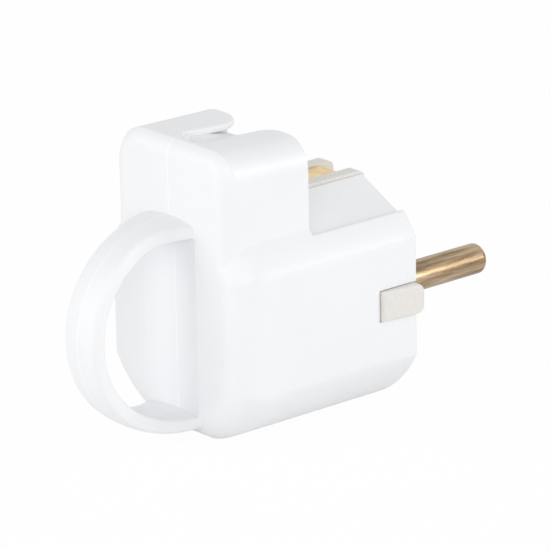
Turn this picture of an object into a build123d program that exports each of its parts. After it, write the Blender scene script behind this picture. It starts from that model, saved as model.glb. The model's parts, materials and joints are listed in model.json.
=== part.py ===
from build123d import *
import os

# Earthed mains plug with a pull handle, for rewiring. Millimetres.
# Origin: centre of the engagement face, midway between the pins.
# +Y points out along the pins, +Z up towards the cable mouth, +X to the right.

# Pins, their standard sizes
pin_diameter = 4.8
pin_spacing = 19.0
pin_length = 19.0
pin_tip_radius = 0.9
pin_collar_diameter = 5.6
pin_head_diameter = 7.0
pin_head_length = 17.0
pin_head_chamfer = 0.45
pin_seat = 4.0
wire_bore_diameter = 3.2
wire_bore_depth = 10.0

# Lower housing, a round barrel with two flat sides and a flat foot
rim_setback = 0.3
body_length = 34.2
body_radius = 19.35
body_half_width = 16.9
foot_drop = 18.5
body_back_radius = 5.0
rim_radius = 0.4
wall = 1.9
back_wall = 2.2
rim_wall = 4.65
barrel_wall = 3.85

# Two plain facets over the front of the barrel, each ending in a small step
facet_depth = 2.29
facet_angle = 27.0
facet_outer_x = 13.3
facet_step_width = 0.7
facet_step_radius = 0.5

# Tall block behind the socket's face, which takes the cable
block_setback = 18.3
block_half_width = 13.45
block_top = 28.25
block_right_drop = 0.65
block_left_radius = 6.5
block_right_radius = 4.5
block_back_radius = 3.0
ridge_rise = 0.45
top_wall = 1.3
front_wall = 2.0

# Cable mouth: a lip on the left half over a curved tongue on the right half
mouth_back_wall = 3.6
lip_back_x = -1.5
lip_front_x = -0.1
lip_corner_radius = 4.5
lip_root_radius = 1.0
lip_edge_radius = 0.4
tongue_start_x = 7.5
tongue_front_end_x = -5.2
tongue_front_drop = 3.8
tongue_front_tip = 0.85
tongue_back_end_x = 1.0
tongue_back_drop = 0.6
tongue_back_tip = 0.2
tongue_thickness = 1.7
tongue_clearance = 0.4

# The tongue's curve: how far its ends pull on it, as parts of its length and of its drop
tongue_start_pull = 0.35
tongue_end_pull = 0.31
tongue_end_lift = 0.34

# Pull handle, half of it moulded on each shell
handle_reach = 17.9
handle_outer_radius = 16.65
handle_inner_radius = 14.05
handle_crown = 1.0
handle_mid_width = 7.0
handle_root_width = 12.2
handle_flare_length = 9.0
handle_flare_pull = 3.0
handle_flare_turn = 1.0
handle_outer_edge_radius = 0.7
handle_inner_edge_radius = 0.45
finger_channel_width = 12.0
finger_channel_depth = 0.9

# Parting of the two shells
joint_gap = 0.06

# Pin carrier, the thermoset insert held between the shells
fit_gap = 0.15
rim_lip = 3.0
flange_thickness = 4.7
groove_ring_height = 1.6
groove_ring_thickness = 1.5
partition_inner_x = 3.4
partition_thickness = 1.2
partition_bottom = -11.0
partition_top = 13.0
partition_end_y = -23.2
pin_stop_inner_x = 6.5
pin_stop_thickness = 1.5
pin_stop_height = 5.0
saddle_half_width = 4.7
saddle_floor = 15.95
saddle_depth = 8.0
saddle_end_y = -18.4
rib_top = 17.25
rib_end_radius = 1.2
lug_half_height = 2.35
lug_length = 7.7
lug_front_proud = 1.5
lug_back_proud = 0.8
lug_corner_radius = 1.3
lug_edge_radius = 0.4

# Earth strip, one brass stamping bent round the carrier
strip_width = 4.6
strip_thickness = 1.0
strip_bend_radius = 1.5
strip_front_y = -2.0
strip_front_drop = 2.2
strip_web_y = -20.2
strip_collar_diameter = 6.4
strip_collar_height = 1.2

# Cable clamp on the carrier's tower
tower_side_gap = 0.95
tower_corner_radius = 1.8
tower_bottom = 6.0
tower_top = 15.0
tower_front_y = -21.2
tower_thickness = 2.8
clamp_edge_distance = 3.0
clamp_height = 11.8
clamp_boss_diameter = 5.2
clamp_boss_height = 2.0
bar_thickness = 2.4
bar_height = 5.6
bar_corner_radius = 1.4
bar_arch_radius = 5.5
bar_arch_depth = 1.2

# Screws and nuts
housing_screw_diameter = 3.0
housing_screw_length = 18.0
housing_head_diameter = 5.6
housing_head_height = 2.0
housing_seat_x = -10.95
head_clearance = 0.3
shank_clearance = 0.05
boss_diameter = 5.4
head_boss_diameter = 8.4
head_boss_end_x = -9.3
upper_screw_y = -22.6
upper_screw_z = 19.4
lower_screw_y = -26.0
lower_screw_z = -6.3
terminal_screw_diameter = 3.5
terminal_screw_length = 4.3
terminal_screw_y = -16.0
terminal_screw_reach = 1.0
earth_screw_diameter = 4.0
earth_screw_length = 5.2
earth_head_diameter = 5.8
earth_washer_side = 6.2
earth_washer_thickness = 1.0
earth_washer_corner_radius = 0.5
clamp_screw_diameter = 3.0
clamp_screw_length = 7.0
clamp_nut_width = 5.5
clamp_nut_thickness = 2.2
small_head_diameter = 5.5
small_head_height = 1.8
head_edge_radius = 0.35
slot_width = 0.9
slot_depth = 0.9

# How near an edge or a corner lies to the place that it is picked by
pick_margin = 0.01

# Places that follow from the sizes above
rim_y = -rim_setback
back_y = rim_y - body_length
block_front_y = rim_y - block_setback
inner_back_y = back_y + back_wall
block_inner_front_y = block_front_y - front_wall
mouth_back_y = back_y + mouth_back_wall
lip_bore_radius = body_radius - rim_wall
chamber_radius = body_radius - barrel_wall
groove_ring_radius = chamber_radius - groove_ring_height
flange_radius = chamber_radius - fit_gap
lip_back_y = rim_y - rim_lip
groove_back_y = lip_back_y - flange_thickness - 2 * fit_gap
ring_back_y = groove_back_y - groove_ring_thickness
chamber_back_y = block_front_y - fit_gap
strip_run_z = saddle_floor + strip_thickness / 2
notch_half_width = saddle_half_width + fit_gap
handle_axis_y = back_y - (handle_reach - handle_outer_radius)
tower_back_y = tower_front_y - tower_thickness
clamp_face_y = tower_back_y - clamp_boss_height
pin_back_y = -pin_seat - pin_head_length
strip_pocket_length = strip_bend_radius + 2 * strip_thickness
tongue_place = (tongue_start_x + block_half_width) / (2 * block_half_width)
tongue_front_top = block_top - block_right_drop * tongue_place
tongue_back_slope = (block_top - tongue_front_top) / (block_front_y - back_y)
tongue_back_top = block_top - tongue_back_slope * back_wall
chamber_top = block_top - top_wall
facet_distance = body_radius - facet_depth
facet_step_x = facet_outer_x + facet_step_width
lug_front_x = body_half_width + lug_front_proud
lug_back_x = body_half_width + lug_back_proud
tower_half_width = block_half_width - wall - tower_side_gap
clamp_spacing = 2 * (tower_half_width - clamp_edge_distance)


def body_section(inset):
    """The barrel's outline, drawn in by a wall: a circle with flat sides and a flat foot."""
    with BuildSketch() as outline:
        Circle(body_radius - inset)
        Rectangle(2 * (body_half_width - inset), 2 * body_radius, mode=Mode.INTERSECT)
        with Locations((0, inset - foot_drop)):
            Rectangle(
                2 * body_radius,
                2 * body_radius,
                align=(Align.CENTER, Align.MIN),
                mode=Mode.INTERSECT,
            )
    return outline.sketch


def slotted_screw(seat, shank_diameter, shank_length, head_diameter, head_height):
    """A cheese-head screw: the seat plane is under its head, and the head stands on it."""
    out = Axis(seat.origin, seat.z_dir)
    with BuildPart() as screw:
        with BuildSketch(seat):
            Circle(head_diameter / 2)
        extrude(amount=head_height)
        fillet(screw.faces().sort_by(out)[-1].edges(), head_edge_radius)
        with BuildSketch(seat):
            Circle(shank_diameter / 2)
        extrude(amount=-shank_length)
        with BuildSketch(seat.offset(head_height)):
            Rectangle(2 * head_diameter, slot_width)
        extrude(amount=-slot_depth, mode=Mode.SUBTRACT)
    return screw.part


def bore_along_x(y, z, diameter, start_x, end_x):
    """A round bar or hole along X, between two places on it."""
    with BuildSketch(Plane.YZ.offset(start_x)) as circle:
        with Locations((y, z)):
            Circle(diameter / 2)
    return extrude(circle.sketch, amount=end_x - start_x)


def strap_radius(edge):
    """How far the middle of one of the handle's edges stands from the handle's axis."""
    middle = edge.position_at(0.5)
    return Vector(0, min(middle.Y - handle_axis_y, 0), middle.Z).length


def pin_stop(side):
    """The rib inside a shell that keeps its pin from sliding back."""
    with BuildPart() as stop:
        with BuildSketch(Plane.XY.offset(-pin_stop_height / 2)):
            with Locations((side * pin_stop_inner_x, pin_back_y - fit_gap)):
                Rectangle(
                    body_half_width - wall / 2 - pin_stop_inner_x,
                    pin_stop_thickness,
                    align=(Align.MIN if side > 0 else Align.MAX, Align.MAX),
                )
        extrude(amount=pin_stop_height)
    return stop.part


def block_outline(left_top, right_top):
    """The tall block in front view, with a round corner at each end of its top."""
    with BuildSketch() as outline:
        with BuildLine():
            FilletPolyline(
                (-block_half_width, 0),
                (-block_half_width, left_top),
                (block_half_width, right_top),
                (block_half_width, 0),
                radius=(block_left_radius, block_right_radius),
            )
            Line((block_half_width, 0), (-block_half_width, 0))
        make_face()
    return outline.sketch


def tongue_curve(top, end_x, drop):
    """A line over the tongue in front view: level at the right, then down to its end."""
    reach = tongue_start_x - end_x
    return Bezier(
        (tongue_start_x, top),
        (tongue_start_x - tongue_start_pull * reach, top),
        (end_x + tongue_end_pull * reach, top - drop + tongue_end_lift * drop),
        (end_x, top - drop),
    )


def tongue_section(top, end_x, drop, tip, margin=0):
    """The tongue in front view, with its round tip, and a margin all round it for its room."""
    thickness = tongue_thickness + 2 * margin
    with BuildSketch() as section:
        with BuildLine():
            upper = tongue_curve(top + margin, end_x, drop)
            lower = tongue_curve(top + margin - thickness, end_x, drop)
            ThreePointArc(
                upper @ 1,
                (end_x - tip - margin, top + margin - drop - thickness / 2),
                lower @ 1,
            )
            Line(upper @ 0, lower @ 0)
        make_face()
    return section.sketch


def space_over_tongue(top, end_x, drop, ceiling):
    """The region in front view between the tongue's middle and a ceiling."""
    with BuildSketch() as space:
        with BuildLine():
            middle = tongue_curve(top - tongue_thickness / 2, end_x, drop)
            Polyline(middle @ 1, (end_x, ceiling), (tongue_start_x, ceiling), middle @ 0)
        make_face()
    return space.sketch


# The tall block: on the right its top falls a little towards the front
with BuildPart() as tall_block:
    with BuildSketch(Plane.XZ.offset(-block_front_y)):
        add(block_outline(block_top, block_top - block_right_drop))
    with BuildSketch(Plane.XZ.offset(-back_y)):
        add(block_outline(block_top, block_top))
    loft(ruled=True)

# The rounding of the block's back, which meets its top in a fine ridge and its sides smoothly
with BuildPart() as back_rounding:
    with BuildSketch(Plane.XZ.offset(-block_front_y)):
        add(block_outline(block_top + ridge_rise, block_top + ridge_rise))
    extrude(amount=block_front_y - back_y)
    back_edges = back_rounding.faces().sort_by(Axis.Y)[0].edges()
    fillet(back_edges.filter_by(lambda e: e.center().Z > pick_margin), block_back_radius)
rounded_block = tall_block.part & back_rounding.part

# The barrel's front view: plain facets cut over the saddle, each ending in a small round step
facet_slope = Vector(1, 0).rotate(Axis.Z, -facet_angle)
facet_peak = facet_distance / Vector(0, 1).rotate(Axis.Z, -facet_angle).Y
facet_outer_z = facet_peak + facet_outer_x * facet_slope.Y / facet_slope.X
step_z = (body_radius**2 - facet_step_x**2) ** 0.5
with BuildSketch() as front_section:
    add(body_section(0))
    with BuildLine():
        right_edge = Polyline(
            (0, facet_peak),
            (facet_outer_x, facet_outer_z),
            (facet_step_x, step_z),
            (facet_step_x, body_radius + rim_lip),
            (0, body_radius + rim_lip),
        )
        mirror(right_edge, about=Plane.YZ)
    make_face(mode=Mode.SUBTRACT)
    step_corners = front_section.vertices().filter_by(
        lambda v: abs(abs(v.X) - facet_step_x) < pick_margin and v.Y > 0
    )
    fillet(step_corners, facet_step_radius)

# Both shells in one, as the closed housing, before its parting
with BuildPart() as housing:
    with BuildSketch(Plane.XZ.offset(-rim_y)):
        add(front_section.sketch)
    extrude(amount=block_setback)
    fillet(housing.faces().sort_by(Axis.Y)[-1].edges(), rim_radius)
    with BuildSketch(Plane.XZ.offset(-block_front_y)):
        add(body_section(0))
    extrude(amount=body_length - block_setback)
    fillet(housing.faces().sort_by(Axis.Y)[0].edges(), body_back_radius)
    add(rounded_block)

    # Chamber in the barrel: the front is turned to hold the carrier, the back follows the outside
    with BuildSketch(Plane.XY):
        with BuildLine():
            Polyline(
                (0, 0),
                (lip_bore_radius, 0),
                (lip_bore_radius, lip_back_y),
                (chamber_radius, lip_back_y),
                (chamber_radius, groove_back_y),
                (groove_ring_radius, groove_back_y),
                (groove_ring_radius, ring_back_y),
                (chamber_radius, ring_back_y),
                (chamber_radius, block_inner_front_y),
                (0, block_inner_front_y),
                close=True,
            )
        make_face()
    revolve(axis=Axis.Y, mode=Mode.SUBTRACT)
    with BuildSketch(Plane.XZ.offset(-chamber_back_y)):
        add(body_section(wall))
    extrude(amount=chamber_back_y - inner_back_y, mode=Mode.SUBTRACT)

    # Chamber in the tall block
    with BuildSketch(Plane.XZ.offset(-block_inner_front_y)):
        chamber_view = Rectangle(
            2 * (block_half_width - wall), chamber_top, align=(Align.CENTER, Align.MIN)
        )
        top_corners = chamber_view.vertices().group_by(Axis.Y)[-1].sort_by(Axis.X)
        fillet(top_corners[-1], block_right_radius - wall)
        top_corners = chamber_view.vertices().group_by(Axis.Y)[-1].sort_by(Axis.X)
        fillet(top_corners[0], block_left_radius - wall)
    extrude(amount=block_inner_front_y - inner_back_y, mode=Mode.SUBTRACT)

    # Room for the carrier's saddles, for its side lugs and for the earth strip behind them
    for side in (1, -1):
        with BuildSketch(Plane.XZ.offset(-saddle_end_y + fit_gap)):
            with Locations((0, side * saddle_depth)):
                Rectangle(
                    2 * notch_half_width,
                    body_radius,
                    align=(Align.CENTER, Align.MIN if side > 0 else Align.MAX),
                )
        extrude(amount=saddle_end_y - fit_gap, mode=Mode.SUBTRACT)
        with BuildSketch(Plane.XZ.offset(-saddle_end_y)):
            with Locations((0, side * (rib_top + saddle_depth) / 2)):
                Rectangle(strip_width + 2 * fit_gap, rib_top - saddle_depth)
        extrude(amount=saddle_end_y - block_inner_front_y + fit_gap, mode=Mode.SUBTRACT)
        with BuildSketch(Plane.XY.offset(-lug_half_height - fit_gap)):
            with Locations((side * body_half_width, 0)):
                Rectangle(2 * wall + rim_lip, 2 * (lug_length + fit_gap))
        extrude(amount=2 * (lug_half_height + fit_gap), mode=Mode.SUBTRACT)

    # Finger channel down the back, under the handle
    half_width = finger_channel_width / 2
    channel_radius = (half_width**2 + finger_channel_depth**2) / (2 * finger_channel_depth)
    with BuildSketch(Plane.XY.offset(-handle_inner_radius)):
        with Locations((0, back_y + finger_channel_depth - channel_radius)):
            Circle(channel_radius)
    extrude(amount=2 * handle_inner_radius, mode=Mode.SUBTRACT)

# The pull handle: a crowned strap turned half round, with a short straight run at each root
with BuildPart() as handle:
    strap_half_width = handle_root_width / 2
    with BuildSketch(Plane.XZ.offset(-handle_axis_y)) as strap:
        with BuildLine():
            ThreePointArc(
                (-strap_half_width, handle_outer_radius - handle_crown),
                (0, handle_outer_radius),
                (strap_half_width, handle_outer_radius - handle_crown),
            )
            Polyline(
                (strap_half_width, handle_outer_radius - handle_crown),
                (strap_half_width, handle_inner_radius),
                (-strap_half_width, handle_inner_radius),
                (-strap_half_width, handle_outer_radius - handle_crown),
            )
        make_face()
    revolve(axis=Axis((0, handle_axis_y, 0), (1, 0, 0)), revolution_arc=180)
    root = extrude(strap.sketch, amount=handle_axis_y - back_y - finger_channel_depth)
    add(mirror(root, about=Plane.XY))
    with BuildSketch(Plane.XY.offset(-body_radius)):
        with BuildLine():
            mid_half_width = handle_mid_width / 2
            flare_y = back_y - handle_flare_length
            tip_y = back_y - 2 * handle_reach
            flare = Bezier(
                (strap_half_width, back_y + finger_channel_depth),
                (strap_half_width - handle_flare_turn, back_y - handle_flare_pull),
                (mid_half_width, flare_y + handle_flare_pull),
                (mid_half_width, flare_y),
            )
            side_line = Line((mid_half_width, flare_y), (mid_half_width, tip_y))
            mirror(flare, about=Plane.YZ)
            mirror(side_line, about=Plane.YZ)
            Line((mid_half_width, tip_y), (-mid_half_width, tip_y))
            Line(
                (strap_half_width, back_y + finger_channel_depth),
                (-strap_half_width, back_y + finger_channel_depth),
            )
        make_face()
    extrude(amount=2 * body_radius, mode=Mode.INTERSECT)

    # The strap's long edges, outside and inside
    long_edges = handle.edges().filter_by(
        lambda e: abs(e.center().X) > handle_outer_edge_radius and e.geom_type != GeomType.LINE
    )
    strap_middle = (handle_outer_radius + handle_inner_radius) / 2
    fillet(long_edges.filter_by(lambda e: strap_radius(e) > strap_middle), handle_outer_edge_radius)
    long_edges = handle.edges().filter_by(
        lambda e: abs(e.center().X) > handle_outer_edge_radius
        and strap_radius(e) < handle_inner_radius + pick_margin
    )
    fillet(long_edges, handle_inner_edge_radius)

# The bosses that take the two housing screws, right across both shells
screw_places = ((upper_screw_y, upper_screw_z), (lower_screw_y, lower_screw_z))

# Right shell: blind bosses for the screws, a stop behind the pin and the curved tongue
with BuildPart() as right_shell:
    add(housing.part)
    add(handle.part)
    split(bisect_by=Plane.YZ.offset(joint_gap / 2), keep=Keep.TOP)
    for y, z in screw_places:
        wall_x = (block_half_width if z > 0 else body_half_width) - wall / 2
        add(bore_along_x(y, z, boss_diameter, joint_gap / 2, wall_x))
        pilot_end_x = housing_seat_x + housing_screw_length + 2 * shank_clearance
        pilot = bore_along_x(
            y, z, housing_screw_diameter + 2 * shank_clearance, joint_gap / 2, pilot_end_x
        )
        add(pilot, mode=Mode.SUBTRACT)
    add(pin_stop(1))
    front_curve = (tongue_front_top, tongue_front_end_x, tongue_front_drop)
    back_curve = (tongue_back_top, tongue_back_end_x, tongue_back_drop)
    sky = block_top + top_wall
    for front_face, back_face, mode in (
        (
            space_over_tongue(*front_curve, sky),
            space_over_tongue(*back_curve, sky),
            Mode.SUBTRACT,
        ),
        (
            tongue_section(*front_curve, tongue_front_tip),
            tongue_section(*back_curve, tongue_back_tip),
            Mode.ADD,
        ),
    ):
        with BuildSketch(Plane.XZ.offset(-block_front_y)):
            add(front_face)
        with BuildSketch(Plane.XZ.offset(-inner_back_y)):
            add(back_face)
        loft(ruled=True, mode=mode)

# Left shell: open bosses with sunk seats for the screw heads, a stop behind the pin and the lip
with BuildPart() as left_shell:
    add(housing.part)
    add(handle.part)
    split(bisect_by=Plane.YZ.offset(-joint_gap / 2), keep=Keep.BOTTOM)
    for y, z in screw_places:
        wall_x = -block_half_width if z > 0 else -body_half_width
        add(bore_along_x(y, z, boss_diameter, wall_x + wall / 2, -joint_gap / 2))
        add(bore_along_x(y, z, head_boss_diameter, wall_x + wall / 2, head_boss_end_x))
        add(
            bore_along_x(y, z, housing_screw_diameter + 2 * shank_clearance, wall_x, -joint_gap / 2),
            mode=Mode.SUBTRACT,
        )
        add(
            bore_along_x(
                y, z, housing_head_diameter + 2 * head_clearance, wall_x - wall, housing_seat_x
            ),
            mode=Mode.SUBTRACT,
        )
    add(pin_stop(-1))

    # The mouth in the top wall, which leaves the lip with a round front corner
    with BuildSketch(Plane.XY.offset(chamber_top)):
        with BuildLine():
            FilletPolyline(
                (lip_corner_radius, mouth_back_y),
                (lip_back_x, mouth_back_y),
                (lip_front_x, block_front_y),
                (-block_half_width, block_front_y),
                radius=(lip_root_radius, lip_corner_radius),
            )
            Polyline(
                (-block_half_width, block_front_y),
                (-block_half_width, 0),
                (lip_corner_radius, 0),
                (lip_corner_radius, mouth_back_y),
            )
        make_face()
    extrude(amount=2 * top_wall, mode=Mode.SUBTRACT)

    # Room in the front wall for the right shell's tongue, and the slot over it up to the lip
    with BuildSketch(Plane.XZ.offset(-block_front_y)):
        add(tongue_section(*front_curve, tongue_front_tip, tongue_clearance))
    extrude(amount=front_wall + fit_gap, mode=Mode.SUBTRACT)
    with BuildSketch(Plane.XZ.offset(-block_front_y)):
        add(space_over_tongue(*front_curve, sky))
        Rectangle(
            block_half_width, chamber_top, align=(Align.MAX, Align.MIN), mode=Mode.INTERSECT
        )
    extrude(amount=front_wall + fit_gap, mode=Mode.SUBTRACT)

    # The long edges of the lip's end, rounded over above and below
    lip_edges = left_shell.edges().filter_by(
        lambda e: e.center().X > lip_front_x - lip_corner_radius
        and mouth_back_y - pick_margin < e.center().Y < block_front_y
        and e.center().Z > chamber_top - pick_margin
        and abs(e.tangent_at(0.5).Z) < abs(e.tangent_at(0.5).Y) + abs(e.tangent_at(0.5).X)
    )
    fillet(lip_edges, lip_edge_radius)

# A side lug of the carrier, thicker towards the face, where its corners are round
with BuildPart() as side_lug:
    with BuildSketch(Plane.XY.offset(-lug_half_height)):
        with BuildLine():
            Polyline(
                (partition_inner_x, 0),
                (lug_front_x, 0),
                (lug_back_x, -lug_length),
                (partition_inner_x, -lug_length),
                close=True,
            )
        make_face()
    extrude(amount=2 * lug_half_height)
    front_corners = side_lug.faces().sort_by(Axis.Y)[-1].edges().filter_by(Axis.X)
    fillet(front_corners, lug_corner_radius)
    fillet(side_lug.faces().sort_by(Axis.X)[-1].edges(), lug_edge_radius)

# Pin carrier: face, flange, saddles, partitions, side lugs and the clamp's tower, in one moulding
with BuildPart() as pin_carrier:
    with BuildSketch(Plane.XZ):
        Circle(lip_bore_radius - fit_gap)
    extrude(amount=-lip_back_y + fit_gap)
    with BuildSketch(Plane.XZ.offset(-lip_back_y + fit_gap)):
        Circle(flange_radius)
    extrude(amount=flange_thickness)
    for side in (1, -1):
        with BuildSketch(Plane.XZ):
            with Locations((0, side * saddle_depth)):
                Rectangle(
                    2 * saddle_half_width,
                    rib_top - saddle_depth,
                    align=(Align.CENTER, Align.MIN if side > 0 else Align.MAX),
                )
            with Locations((0, side * saddle_floor)):
                Rectangle(
                    strip_width + 2 * fit_gap,
                    rib_top,
                    align=(Align.CENTER, Align.MIN if side > 0 else Align.MAX),
                    mode=Mode.SUBTRACT,
                )
        extrude(amount=-saddle_end_y)
    rib_ends = pin_carrier.edges().filter_by(Axis.X).filter_by(
        lambda e: abs(abs(e.center().Z) - rib_top) < pick_margin
        and abs(e.center().Y) < pick_margin
    )
    fillet(rib_ends, rib_end_radius)
    for side in (1, -1):
        # The pocket at the front of each saddle, where the strip's end turns in
        with BuildSketch(Plane.XZ.offset(-strip_front_y - 2 * strip_thickness)):
            with Locations((0, side * (strip_run_z - strip_front_drop - fit_gap))):
                Rectangle(
                    strip_width + 2 * fit_gap,
                    rib_top,
                    align=(Align.CENTER, Align.MIN if side > 0 else Align.MAX),
                )
        extrude(amount=strip_pocket_length, mode=Mode.SUBTRACT)
        # The partition between the pin's wiring and the earth's
        with BuildSketch(Plane.XY.offset(partition_bottom)):
            with Locations((side * partition_inner_x, lip_back_y)):
                Rectangle(
                    partition_thickness,
                    lip_back_y - partition_end_y,
                    align=(Align.MIN if side > 0 else Align.MAX, Align.MAX),
                )
        extrude(amount=partition_top - partition_bottom)
        add(side_lug.part if side > 0 else mirror(side_lug.part, about=Plane.YZ))

    # The tower, with a boss for each clamp screw and a pocket in front for its nut
    with BuildSketch(Plane.XZ.offset(-tower_front_y)):
        with Locations((0, tower_bottom)):
            tower_view = Rectangle(
                2 * tower_half_width,
                tower_top - tower_bottom,
                align=(Align.CENTER, Align.MIN),
            )
        fillet(tower_view.vertices().group_by(Axis.Y)[-1], tower_corner_radius)
    extrude(amount=tower_thickness)
    with BuildSketch(Plane.XZ.offset(-tower_back_y)):
        with Locations((0, clamp_height)):
            with GridLocations(clamp_spacing, 0, 2, 1):
                Circle(clamp_boss_diameter / 2)
    extrude(amount=clamp_boss_height)
    with BuildSketch(Plane.XZ.offset(-tower_front_y)):
        with Locations((0, clamp_height)):
            with GridLocations(clamp_spacing, 0, 2, 1):
                Circle(clamp_screw_diameter / 2 + shank_clearance)
    extrude(amount=tower_thickness + clamp_boss_height, mode=Mode.SUBTRACT)
    with BuildSketch(Plane.XZ.offset(-tower_front_y)):
        with Locations((0, clamp_height)):
            with GridLocations(clamp_spacing, 0, 2, 1):
                RegularPolygon(clamp_nut_width / 2 + fit_gap, 6, major_radius=False)
    extrude(amount=clamp_nut_thickness, mode=Mode.SUBTRACT)

    # Holes for the pins, from the face and from behind
    with BuildSketch(Plane.XZ):
        with GridLocations(pin_spacing, 0, 2, 1):
            Circle(pin_collar_diameter / 2 + shank_clearance)
    extrude(amount=pin_seat, mode=Mode.SUBTRACT)
    with BuildSketch(Plane.XZ.offset(pin_seat)):
        with GridLocations(pin_spacing, 0, 2, 1):
            Circle(pin_head_diameter / 2 + fit_gap)
    extrude(amount=flange_thickness + rim_lip, mode=Mode.SUBTRACT)

# Earth strip: a flat brass strip bent to a U round the carrier, with a collar for its screw
with BuildPart() as earth_strip:
    front_end_z = strip_run_z - strip_front_drop
    with BuildSketch(Plane.YZ.offset(-strip_width / 2)):
        with BuildLine():
            FilletPolyline(
                (strip_front_y, front_end_z),
                (strip_front_y, strip_run_z),
                (strip_web_y, strip_run_z),
                (strip_web_y, -strip_run_z),
                (strip_front_y, -strip_run_z),
                (strip_front_y, -front_end_z),
                radius=strip_bend_radius,
            )
        trace(line_width=strip_thickness)
    extrude(amount=strip_width)
    with BuildSketch(Plane.XZ.offset(-strip_web_y)):
        Circle(strip_collar_diameter / 2)
        Rectangle(strip_width, strip_collar_diameter, mode=Mode.INTERSECT)
    extrude(amount=-strip_thickness / 2 - strip_collar_height)
    with BuildSketch(Plane.XZ.offset(-strip_web_y)):
        Circle(earth_screw_diameter / 2 + shank_clearance)
    extrude(amount=strip_width, both=True, mode=Mode.SUBTRACT)

# Pins: turned brass with a collar that fills its hole in the carrier and a drilled head behind
with BuildPart() as pin_turning:
    with BuildSketch(Plane.XZ.offset(-pin_length)):
        Circle(pin_diameter / 2)
    extrude(amount=pin_length)
    with BuildSketch(Plane.XZ):
        Circle(pin_collar_diameter / 2)
    extrude(amount=pin_seat)
    with BuildSketch(Plane.XZ.offset(pin_seat)):
        Circle(pin_head_diameter / 2)
    extrude(amount=pin_head_length)
    fillet(pin_turning.faces().sort_by(Axis.Y)[-1].edges(), pin_tip_radius)
    chamfer(pin_turning.faces().sort_by(Axis.Y)[0].edges(), pin_head_chamfer)
    with BuildSketch(Plane.XZ.offset(-pin_back_y)):
        Circle(wire_bore_diameter / 2)
    extrude(amount=-wire_bore_depth, mode=Mode.SUBTRACT)
    with BuildSketch(Plane.XY):
        with Locations((0, terminal_screw_y)):
            Circle(terminal_screw_diameter / 2 + shank_clearance)
    extrude(amount=pin_head_diameter, mode=Mode.SUBTRACT)

terminal_seat_z = pin_head_diameter / 2 + terminal_screw_reach
parts = {}
for side_name, side in (("left", -1), ("right", 1)):
    pin_x = side * pin_spacing / 2
    with BuildPart() as pin:
        with Locations((pin_x, 0, 0)):
            add(pin_turning.part)
    parts[side_name + "_pin"] = pin.part
    parts[side_name + "_terminal_screw"] = slotted_screw(
        Plane((pin_x, terminal_screw_y, terminal_seat_z), (1, 0, 0), (0, 0, 1)),
        terminal_screw_diameter,
        terminal_screw_length,
        small_head_diameter,
        small_head_height,
    )
    clamp_x = side * clamp_spacing / 2
    parts[side_name + "_clamp_screw"] = slotted_screw(
        Plane((clamp_x, clamp_face_y - bar_thickness, clamp_height), (1, 0, 0), (0, -1, 0)),
        clamp_screw_diameter,
        clamp_screw_length,
        small_head_diameter,
        small_head_height,
    )
    with BuildPart() as clamp_nut:
        with BuildSketch(Plane.XZ.offset(-tower_front_y + fit_gap)):
            with Locations((clamp_x, clamp_height)):
                RegularPolygon(clamp_nut_width / 2, 6, major_radius=False)
                Circle(clamp_screw_diameter / 2 + shank_clearance, mode=Mode.SUBTRACT)
        extrude(amount=clamp_nut_thickness - fit_gap)
    parts[side_name + "_clamp_nut"] = clamp_nut.part

# Earth terminal: a square washer under a screw in the strip's collar
washer_face_y = strip_web_y - strip_thickness / 2
with BuildPart() as earth_washer:
    with BuildSketch(Plane.XZ.offset(-washer_face_y)):
        washer_view = Rectangle(earth_washer_side, earth_washer_side)
        fillet(washer_view.vertices(), earth_washer_corner_radius)
        Circle(earth_screw_diameter / 2 + shank_clearance, mode=Mode.SUBTRACT)
    extrude(amount=earth_washer_thickness)
earth_screw = slotted_screw(
    Plane((0, washer_face_y - earth_washer_thickness, 0), (1, 0, 0), (0, -1, 0)),
    earth_screw_diameter,
    earth_screw_length,
    earth_head_diameter,
    small_head_height,
)

# Cable clamp bar, arched in the middle to take the cable
with BuildPart() as cable_clamp_bar:
    with BuildSketch(Plane.XZ.offset(-clamp_face_y)):
        with Locations((0, clamp_height)):
            bar_view = Rectangle(clamp_spacing + clamp_boss_diameter, bar_height)
            fillet(bar_view.vertices(), bar_corner_radius)
            with GridLocations(clamp_spacing, 0, 2, 1):
                Circle(clamp_screw_diameter / 2 + shank_clearance, mode=Mode.SUBTRACT)
    extrude(amount=bar_thickness)
    with BuildSketch(Plane.XY.offset(clamp_height - bar_height)):
        with Locations((0, clamp_face_y - bar_arch_depth + bar_arch_radius)):
            Circle(bar_arch_radius)
    extrude(amount=2 * bar_height, mode=Mode.SUBTRACT)

# The two housing screws, driven from the left
for level_name, (y, z) in zip(("upper", "lower"), screw_places):
    parts[level_name + "_housing_screw"] = slotted_screw(
        Plane((housing_seat_x, y, z), (0, 1, 0), (-1, 0, 0)),
        housing_screw_diameter,
        housing_screw_length,
        housing_head_diameter,
        housing_head_height,
    )

parts["right_shell"] = right_shell.part
parts["left_shell"] = left_shell.part
parts["pin_carrier"] = pin_carrier.part
parts["earth_strip"] = earth_strip.part
parts["earth_washer"] = earth_washer.part
parts["earth_screw"] = earth_screw
parts["cable_clamp_bar"] = cable_clamp_bar.part

os.makedirs("parts", exist_ok=True)
for node_name, piece in parts.items():
    piece.label = node_name
    export_step(piece, "parts/" + node_name + ".step")
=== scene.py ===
import json
import math

import bpy
from mathutils import Matrix, Vector


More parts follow.
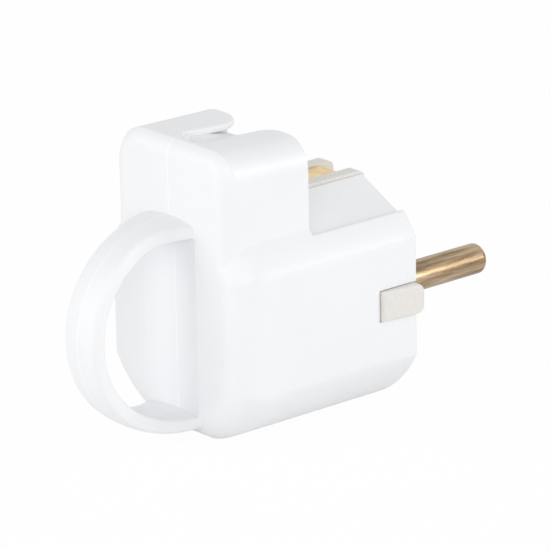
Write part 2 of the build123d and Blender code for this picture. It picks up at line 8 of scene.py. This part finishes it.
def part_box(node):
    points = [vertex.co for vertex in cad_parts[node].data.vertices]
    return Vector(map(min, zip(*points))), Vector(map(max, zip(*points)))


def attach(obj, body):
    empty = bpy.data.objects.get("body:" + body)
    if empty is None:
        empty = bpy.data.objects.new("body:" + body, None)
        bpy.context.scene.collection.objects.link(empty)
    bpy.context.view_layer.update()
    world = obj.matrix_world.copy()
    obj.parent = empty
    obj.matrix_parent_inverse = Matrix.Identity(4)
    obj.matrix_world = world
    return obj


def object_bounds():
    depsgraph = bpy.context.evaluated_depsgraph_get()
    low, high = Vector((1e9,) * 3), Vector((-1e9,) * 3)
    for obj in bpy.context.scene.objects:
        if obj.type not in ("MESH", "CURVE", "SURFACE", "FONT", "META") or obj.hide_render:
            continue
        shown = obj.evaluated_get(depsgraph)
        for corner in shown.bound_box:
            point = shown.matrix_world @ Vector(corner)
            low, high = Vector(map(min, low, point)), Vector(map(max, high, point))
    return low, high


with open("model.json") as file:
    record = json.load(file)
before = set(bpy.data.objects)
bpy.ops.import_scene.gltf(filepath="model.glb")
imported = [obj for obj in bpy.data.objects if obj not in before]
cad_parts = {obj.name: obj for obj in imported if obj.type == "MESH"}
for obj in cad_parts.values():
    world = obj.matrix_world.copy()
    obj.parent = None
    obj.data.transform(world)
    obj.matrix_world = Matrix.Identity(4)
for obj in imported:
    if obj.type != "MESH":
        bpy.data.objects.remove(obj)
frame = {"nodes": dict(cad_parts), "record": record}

MM = 0.001
cad_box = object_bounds()

# The photograph's view: direction and roll in degrees, the distance and the point looked at in
# millimetres, and the camera that goes with them
VIEW_AZIMUTH = 50.11
VIEW_ELEVATION = 18.46
VIEW_ROLL = -1.17
VIEW_DISTANCE = 709.5
VIEW_AIM = (-6.72, -8.55, -0.41)
LENS = 301.4
SENSOR = 36.0
CLIP_START = 10 * MM

# The world's light on the object, where 1 shows white as white
WORLD_LIGHT = 0.65

# The floor: its side in metres, how far it lies under the object, and how much of what the
# camera sees of it is plain white, with the shadow in the rest
FLOOR_SIDE = 6.0
FLOOR_DROP = 0.02 * MM
FLOOR_WHITE = 0.97

# The soft boxes: azimuth and elevation in degrees, side in metres, and watts. All are this many
# metres from the point that the camera looks at.
LAMP_DISTANCE = 0.7
LAMPS = {
    "back_softbox": (-24, 18, 0.5, 1.05),
    "corner_softbox": (42, 18, 0.4, 1.0),
    "front_softbox": (128, 18, 0.24, 1.05),
}

# The gap between the two shells, and half the width of the painted highlight, a lighter stripe, along it
JOINT_GAP = 0.06 * MM
SEAM_HIGHLIGHT_WIDTH = 0.14 * MM

# How near two places have to be to count as one
PICK = 0.001 * MM

# The shoulders above and below the flat sides are eased by this radius. The effect fades in
# or out between the two places of each pair. Those in X and Z count both ways from the middle.
SHOULDER_RADIUS = 2.2 * MM
SHOULDER_X = (14 * MM, 15.5 * MM)
SHOULDER_Y = (-2.5 * MM, -5 * MM)
SHOULDER_LOW_Z = (4.5 * MM, 5.5 * MM)
SHOULDER_HIGH_Z = (12 * MM, 11 * MM)

# The tongue's upper surface between its back and front curves, as the shell has it, and the
# thin apron that goes on from it under the lip, in millimetres
TONGUE_BACK = ((7.5, -32.3, 28.18), (5.23, -32.3, 28.18), (3.02, -32.3, 27.78), (1.0, -32.3, 27.58))
TONGUE_FRONT = ((7.5, -18.6, 27.74), (3.06, -18.6, 27.74), (-1.26, -18.6, 25.24), (-5.2, -18.6, 23.94))
APRON_BACK_Y = -30.8
APRON_FRONT_Y = -20.7
# The apron starts on the tongue at the first of these shares of its curve, towards the second
APRON_START = 0.6
APRON_TURN = 0.7
# The points that draw it under the lip's edge, and those where it ends, from back to front
APRON_UNDER_LIP = ((-0.9, -30.8, 27.35), (-0.8, -25.75, 27.85), (-0.6, -20.7, 26.0))
APRON_END = ((-3.0, -30.8, 27.1), (-3.0, -25.75, 27.5), (-3.0, -20.7, 25.8))
APRON_THICKNESS = 0.5 * MM

# The left shell's round top corner, in millimetres and degrees: the arc's middles a little beyond
# the chamber's two ends, its radius less a hair, and the angles between which the chamber shows
CORNER_BACK = Vector((-6.95, -33.0, 21.73))
CORNER_FRONT = Vector((-6.95, -20.0, 21.6))
CORNER_RADIUS = 6.485
CORNER_LOW_ANGLE = 45
CORNER_HIGH_ANGLE = 56.5
CORNER_THICKNESS = 0.9 * MM


def linear(colour):
    """A hex colour as seen on a screen, in the linear values that shading works with."""
    values = [int(colour[i:i + 2], 16) / 255 for i in (1, 3, 5)]
    return tuple(v / 12.92 if v <= 0.04045 else ((v + 0.055) / 1.055) ** 2.4 for v in values) + (1.0,)


def connect(tree, node, links):
    """Links into a node, as {input: (source node, output)}."""
    for name, (source, output) in links.items():
        tree.links.new(source.outputs[output], node.inputs[name])


def add_node(tree, kind, values=None, links=None, **settings):
    """One node with its settings, its sockets' values, and the links into it."""
    node = tree.nodes.new(kind)
    for name, value in settings.items():
        setattr(node, name, value)
    for name, value in (values or {}).items():
        node.inputs[name].default_value = value
    connect(tree, node, links or {})
    return node


def new_material(name):
    """A material with its shader and the object's own coordinates, ready for its pattern."""
    material = bpy.data.materials.new(name)
    material.use_nodes = True
    tree = material.node_tree
    shader = tree.nodes["Principled BSDF"]
    place = add_node(tree, "ShaderNodeTexCoord")
    return material, tree, shader, place


def colour_ramp(tree, source, output, stops):
    """A ramp through hex colours, each at its place between 0 and 1."""
    ramp = add_node(tree, "ShaderNodeValToRGB", links={"Fac": (source, output)})
    elements = ramp.color_ramp.elements
    while len(elements) < len(stops):
        elements.new(0.5)
    for element, (position, colour) in zip(elements, stops):
        element.position = position
        element.color = linear(colour)
    return ramp


def fade(tree, source, output, places):
    """0 before the first place and 1 beyond the second, with an even rise between them."""
    return add_node(tree, "ShaderNodeMapRange", {"From Min": places[0], "From Max": places[1]},
                    {"Value": (source, output)})


def glossy_abs():
    # Injection-moulded ABS: an even white with a soft gloss, the faint unevenness of a polished
    # mould, a painted highlight as a lighter stripe along the seam where the two shells meet,
    # and softly eased shoulders
    material, tree, shader, place = new_material("injection_moulded_abs")
    cloud = add_node(tree, "ShaderNodeTexNoise", {"Scale": 1 / (14 * MM), "Detail": 2.0},
                     {"Vector": (place, "Object")})
    tone = colour_ramp(tree, cloud, "Fac", ((0.3, "#F1F2F4"), (0.7, "#F3F4F6")))
    across = add_node(tree, "ShaderNodeSeparateXYZ", links={"Vector": (place, "Object")})
    distance = add_node(tree, "ShaderNodeMath", links={0: (across, "X")}, operation="ABSOLUTE")
    # Painted highlight: the colour turns lighter within this distance of the seam, for the light that the
    # flash there catches
    seam_line = add_node(tree, "ShaderNodeMapRange",
                     {"From Min": SEAM_HIGHLIGHT_WIDTH * 0.4, "From Max": SEAM_HIGHLIGHT_WIDTH, "To Min": 1.0, "To Max": 0.0},
                     {"Value": (distance, "Value")})
    seam_highlighted_tone = add_node(tree, "ShaderNodeMix", {"B": linear("#FAFBFD")},
                      {"Factor": (seam_line, "Result"), "A": (tone, "Color")}, data_type="RGBA")
    skin = add_node(tree, "ShaderNodeTexNoise", {"Scale": 1 / (0.7 * MM), "Detail": 2.0},
                    {"Vector": (place, "Object")})
    dull = add_node(tree, "ShaderNodeMapRange", {"To Min": 0.38, "To Max": 0.46},
                    {"Value": (skin, "Fac")})
    sharp = add_node(tree, "ShaderNodeNewGeometry")
    eased = add_node(tree, "ShaderNodeBevel", {"Radius": SHOULDER_RADIUS}, samples=8)
    height = add_node(tree, "ShaderNodeMath", links={0: (across, "Z")}, operation="ABSOLUTE")
    region = (fade(tree, distance, "Value", SHOULDER_X), "Result")
    for source, output, places in (
        (across, "Y", SHOULDER_Y),
        (height, "Value", SHOULDER_LOW_Z),
        (height, "Value", SHOULDER_HIGH_Z),
    ):
        part = fade(tree, source, output, places)
        product = add_node(tree, "ShaderNodeMath", links={0: region, 1: (part, "Result")},
                           operation="MULTIPLY")
        region = (product, "Value")
    normal = add_node(tree, "ShaderNodeMix", data_type="VECTOR",
                      links={"Factor": region, "A": (sharp, "Normal"), "B": (eased, "Normal")})
    relief = add_node(tree, "ShaderNodeBump", {"Strength": 0.05, "Distance": 0.02 * MM},
                      {"Height": (skin, "Fac"), "Normal": (normal, "Result")})
    connect(tree, shader, {"Base Color": (seam_highlighted_tone, "Result"), "Roughness": (dull, "Result"),
                           "Normal": (relief, "Normal")})
    shader.inputs["IOR"].default_value = 1.53
    return material


def moulded_thermoset():
    # Pressed urea moulding compound: matt, warm grey-white, with a fine speckle of filler
    material, tree, shader, place = new_material("urea_thermoset")
    grain = add_node(tree, "ShaderNodeTexNoise",
                     {"Scale": 1 / (0.3 * MM), "Detail": 4.0, "Roughness": 0.7},
                     {"Vector": (place, "Object")})
    tone = colour_ramp(tree, grain, "Fac", ((0.25, "#DDD9D3"), (0.5, "#E6E3DE"), (0.75, "#EDEBE7")))
    relief = add_node(tree, "ShaderNodeBump", {"Strength": 0.12, "Distance": 0.03 * MM},
                      {"Height": (grain, "Fac")})
    connect(tree, shader, {"Base Color": (tone, "Color"), "Normal": (relief, "Normal")})
    shader.inputs["Roughness"].default_value = 0.5
    shader.inputs["IOR"].default_value = 1.55
    return material


def turned_brass():
    # Turned CuZn brass: pale gold and brown streaks along the pin, partly tarnish from being plugged
    # in and out and partly painted reflection bands, over the fine rings left by the lathe
    material, tree, shader, place = new_material("turned_brass")
    along = add_node(tree, "ShaderNodeMapping", {"Scale": (1 / (1.4 * MM), 1 / (16 * MM), 1 / (1.4 * MM))},
                     {"Vector": (place, "Object")})
    tarnish_and_reflection_streaks = add_node(tree, "ShaderNodeTexNoise", {"Scale": 1.0, "Detail": 6.0, "Roughness": 0.65},
                      {"Vector": (along, "Vector")})
    # Partly painted reflection: the dark and pale bands along the pin stand in for reflections, over real
    # tarnish
    tone = colour_ramp(tree, tarnish_and_reflection_streaks, "Fac", (
        (0.3, "#66533D"), (0.45, "#857058"), (0.55, "#A89275"), (0.7, "#C8B296")))
    around = add_node(tree, "ShaderNodeMapping", {"Scale": (1 / (6 * MM), 1 / (0.25 * MM), 1 / (6 * MM))},
                      {"Vector": (place, "Object")})
    rings = add_node(tree, "ShaderNodeTexNoise", {"Scale": 1.0, "Detail": 2.0},
                     {"Vector": (around, "Vector")})
    relief = add_node(tree, "ShaderNodeBump", {"Strength": 0.2, "Distance": 0.02 * MM},
                      {"Height": (rings, "Fac")})
    dull = add_node(tree, "ShaderNodeMapRange", {"To Min": 0.38, "To Max": 0.26},
                    {"Value": (tarnish_and_reflection_streaks, "Fac")})
    connect(tree, shader, {"Base Color": (tone, "Color"), "Roughness": (dull, "Result"),
                           "Normal": (relief, "Normal")})
    shader.inputs["Metallic"].default_value = 1.0
    return material


def stamped_brass():
    # Rolled and stamped brass sheet: light gold, a little deeper and duller where it has tarnished
    material, tree, shader, place = new_material("stamped_brass")
    cloud = add_node(tree, "ShaderNodeTexNoise", {"Scale": 1 / (1.6 * MM), "Detail": 5.0},
                     {"Vector": (place, "Object")})
    tone = colour_ramp(tree, cloud, "Fac", ((0.35, "#DDC08C"), (0.55, "#E6CD9E"), (0.7, "#EED9B4")))
    dull = add_node(tree, "ShaderNodeMapRange", {"To Min": 0.45, "To Max": 0.3},
                    {"Value": (cloud, "Fac")})
    connect(tree, shader, {"Base Color": (tone, "Color"), "Roughness": (dull, "Result")})
    shader.inputs["Metallic"].default_value = 1.0
    return material


def zinc_plated_steel():
    # Zinc-plated steel screws: pale grey metal with the plating's faint cloudiness
    material, tree, shader, place = new_material("zinc_plated_steel")
    cloud = add_node(tree, "ShaderNodeTexNoise", {"Scale": 1 / (0.8 * MM), "Detail": 3.0},
                     {"Vector": (place, "Object")})
    tone = colour_ramp(tree, cloud, "Fac", ((0.35, "#B4B6B8"), (0.65, "#D0D1D2")))
    dull = add_node(tree, "ShaderNodeMapRange", {"To Min": 0.28, "To Max": 0.4},
                    {"Value": (cloud, "Fac")})
    connect(tree, shader, {"Base Color": (tone, "Color"), "Roughness": (dull, "Result")})
    shader.inputs["Metallic"].default_value = 1.0
    return material


def dress_nodes():
    """Each CAD node gets the look of its slot in the record, and stamped brass gets its own."""
    finishes = {
        "white_housing": glossy_abs(),
        "grey_carrier": moulded_thermoset(),
        "brass_contacts": turned_brass(),
        "zinc_steel": zinc_plated_steel(),
    }
    strip_brass = stamped_brass()
    for subpart in frame["record"]["subparts"]:
        node = frame["nodes"][subpart["node"]]
        finish = finishes[subpart["material_slot"]]
        if subpart["node"] in ("earth_strip", "earth_washer"):
            finish = strip_brass
        node.data.materials.clear()
        node.data.materials.append(finish)
    return finishes


def finish_piece(piece, material):
    """The piece's modifiers applied, its look and its body."""
    bpy.context.view_layer.objects.active = piece
    for modifier in list(piece.modifiers):
        bpy.ops.object.modifier_apply(modifier=modifier.name)
    piece.data.materials.clear()
    piece.data.materials.append(material)
    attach(piece, "root")


def make_joint_flash(material):
    """The plastic flash that fills the fine gap between the two shells, flush with them."""
    shell = frame["nodes"]["left_shell"]
    seam_line = bpy.data.objects.new("joint_flash", shell.data.copy())
    bpy.context.scene.collection.objects.link(seam_line)
    bpy.ops.object.select_all(action="DESELECT")
    seam_line.select_set(True)
    bpy.context.view_layer.objects.active = seam_line
    bpy.context.tool_settings.mesh_select_mode = (False, False, True)
    bpy.ops.object.mode_set(mode="EDIT")
    bpy.ops.mesh.select_all(action="SELECT")
    bpy.ops.mesh.remove_doubles(threshold=PICK)
    bpy.ops.mesh.select_all(action="DESELECT")
    bpy.ops.object.mode_set(mode="OBJECT")
    joint_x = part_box("left_shell")[1][0]
    for face in seam_line.data.polygons:
        is_level = all(abs(seam_line.data.vertices[i].co.x - joint_x) < PICK for i in face.vertices)
        face.select = not is_level
    bpy.ops.object.mode_set(mode="EDIT")
    bpy.ops.mesh.delete(type="FACE")
    bpy.ops.mesh.select_all(action="SELECT")
    bpy.ops.mesh.extrude_region_move(TRANSFORM_OT_translate={"value": (JOINT_GAP, 0, 0)})
    bpy.ops.mesh.select_all(action="SELECT")
    bpy.ops.mesh.normals_make_consistent(inside=False)
    bpy.ops.object.mode_set(mode="OBJECT")
    finish_piece(seam_line, material)


def on_curve(points, share):
    """A place on the Bezier curve of any number of points."""
    points = [Vector(point) for point in points]
    while len(points) > 1:
        points = [a.lerp(b, share) for a, b in zip(points, points[1:])]
    return points[0]


def on_tongue(share, y):
    """A place on the tongue's upper surface, at a share of its curve and a place along Y."""
    back = on_curve(TONGUE_BACK, share)
    front = on_curve(TONGUE_FRONT, share)
    return back.lerp(front, (y - back.y) / (front.y - back.y))


def make_sheet(name, divisions, place, thickness, material):
    """A thin sheet whose outer face goes through place(u, v), with its thickness below that."""
    bpy.ops.object.select_all(action="DESELECT")
    bpy.ops.mesh.primitive_grid_add(x_subdivisions=divisions[0], y_subdivisions=divisions[1], size=1)
    sheet = bpy.context.object
    sheet.name = name
    for vertex in sheet.data.vertices:
        vertex.co = place(vertex.co.x + 0.5, vertex.co.y + 0.5) * MM
    solid = sheet.modifiers.new("thickness", "SOLIDIFY")
    solid.thickness = thickness
    solid.offset = -1
    bpy.ops.object.shade_smooth()
    finish_piece(sheet, material)


def on_apron(across, along):
    """A place on the apron, from its hidden end to the tongue and from the back to the front."""
    y = APRON_BACK_Y + along * (APRON_FRONT_Y - APRON_BACK_Y)
    section = (
        on_tongue(APRON_START, y),
        on_tongue(APRON_TURN, y),
        on_curve(APRON_UNDER_LIP, along),
        on_curve(APRON_END, along),
    )
    return on_curve(section, 1 - across)


def on_corner(across, along):
    """A place just inside the left shell's round top corner, from low to high, back to front."""
    angle = math.radians(CORNER_LOW_ANGLE + across * (CORNER_HIGH_ANGLE - CORNER_LOW_ANGLE))
    middle = CORNER_BACK.lerp(CORNER_FRONT, along)
    return middle + CORNER_RADIUS * Vector((-math.cos(angle), 0, math.sin(angle)))


def seen_as_white(tree):
    """1 for a ray of the camera, of a reflection or through clear matter, and 0 for any other."""
    path = add_node(tree, "ShaderNodeLightPath")
    total = (path, "Is Camera Ray")
    for kind in ("Is Glossy Ray", "Is Transmission Ray"):
        both = add_node(tree, "ShaderNodeMath", links={0: total, 1: (path, kind)}, operation="MAXIMUM")
        total = (both, "Value")
    return total


def make_stage():
    """A white floor that keeps the object's soft shadow, and a white world beyond it."""
    low = cad_box[0][2]
    bpy.ops.mesh.primitive_plane_add(size=FLOOR_SIDE, location=(0, 0, low - FLOOR_DROP))
    floor = bpy.context.object
    floor.name = "floor"
    material = bpy.data.materials.new("white_floor")
    material.use_nodes = True
    tree = material.node_tree
    tree.nodes.clear()
    matt = add_node(tree, "ShaderNodeBsdfDiffuse", {"Color": linear("#FAFAFA")})
    glow = add_node(tree, "ShaderNodeEmission", {"Color": linear("#FFFFFF"), "Strength": 1.0})
    share = add_node(tree, "ShaderNodeMath", {1: FLOOR_WHITE}, {0: seen_as_white(tree)},
                     operation="MULTIPLY")
    mixed = add_node(tree, "ShaderNodeMixShader",
                     links={"Fac": (share, "Value"), 1: (matt, "BSDF"), 2: (glow, "Emission")})
    add_node(tree, "ShaderNodeOutputMaterial", links={"Surface": (mixed, "Shader")})
    floor.data.materials.append(material)

    world = bpy.data.worlds.new("studio")
    bpy.context.scene.world = world
    world.use_nodes = True
    tree = world.node_tree
    tree.nodes.clear()
    soft = add_node(tree, "ShaderNodeBackground", {"Color": linear("#FFFFFF"), "Strength": WORLD_LIGHT})
    clear = add_node(tree, "ShaderNodeBackground", {"Color": linear("#FFFFFF"), "Strength": 1.0})
    mixed = add_node(tree, "ShaderNodeMixShader", links={
        "Fac": seen_as_white(tree), 1: (soft, "Background"), 2: (clear, "Background")})
    add_node(tree, "ShaderNodeOutputWorld", links={"Surface": (mixed, "Shader")})


def direction(azimuth, elevation):
    """The way from the object towards a camera or lamp at these angles."""
    a, e = math.radians(azimuth), math.radians(elevation)
    return Vector((math.sin(a) * math.cos(e), -math.cos(a) * math.cos(e), math.sin(e)))


def make_lamps():
    """Soft boxes round the two seen sides, and a small one ahead that streaks the pins."""
    for name, (azimuth, elevation, side, watts) in LAMPS.items():
        lamp = bpy.data.lights.new(name, "AREA")
        lamp.shape = "SQUARE"
        lamp.size = side
        lamp.energy = watts
        holder = bpy.data.objects.new(name, lamp)
        bpy.context.scene.collection.objects.link(holder)
        away = direction(azimuth, elevation)
        holder.location = Vector(VIEW_AIM) * MM + away * LAMP_DISTANCE
        holder.rotation_euler = away.to_track_quat("Z", "Y").to_euler()


def make_camera():
    """The photograph's camera: a long lens from behind, to the right and a little above."""
    back = direction(VIEW_AZIMUTH, VIEW_ELEVATION)
    level = Vector((0, 0, 1)).cross(back).normalized()
    upright = back.cross(level)
    roll = math.radians(VIEW_ROLL)
    right = level * math.cos(roll) + upright * math.sin(roll)
    up = upright * math.cos(roll) - level * math.sin(roll)
    data = bpy.data.cameras.new("camera")
    data.lens = LENS
    data.sensor_width = SENSOR
    data.clip_start = CLIP_START
    holder = bpy.data.objects.new("camera", data)
    bpy.context.scene.collection.objects.link(holder)
    place = (Vector(VIEW_AIM) + back * VIEW_DISTANCE) * MM
    turned = Matrix((right, up, back)).transposed().to_4x4()
    holder.matrix_world = Matrix.Translation(place) @ turned
    bpy.context.scene.camera = holder


bpy.ops.object.select_all(action="DESELECT")
finishes = dress_nodes()
make_joint_flash(finishes["white_housing"])
# The tongue's thin edge, which goes on under the lip and shuts off the view inside
make_sheet("tongue_apron", (20, 24), on_apron, APRON_THICKNESS, finishes["white_housing"])
# The wall in the left shell's top corner, where its chamber is square and leaves a slit
make_sheet("corner_web", (16, 2), on_corner, CORNER_THICKNESS, finishes["white_housing"])
make_stage()
make_lamps()
make_camera()
bpy.context.scene.view_settings.view_transform = "Standard"
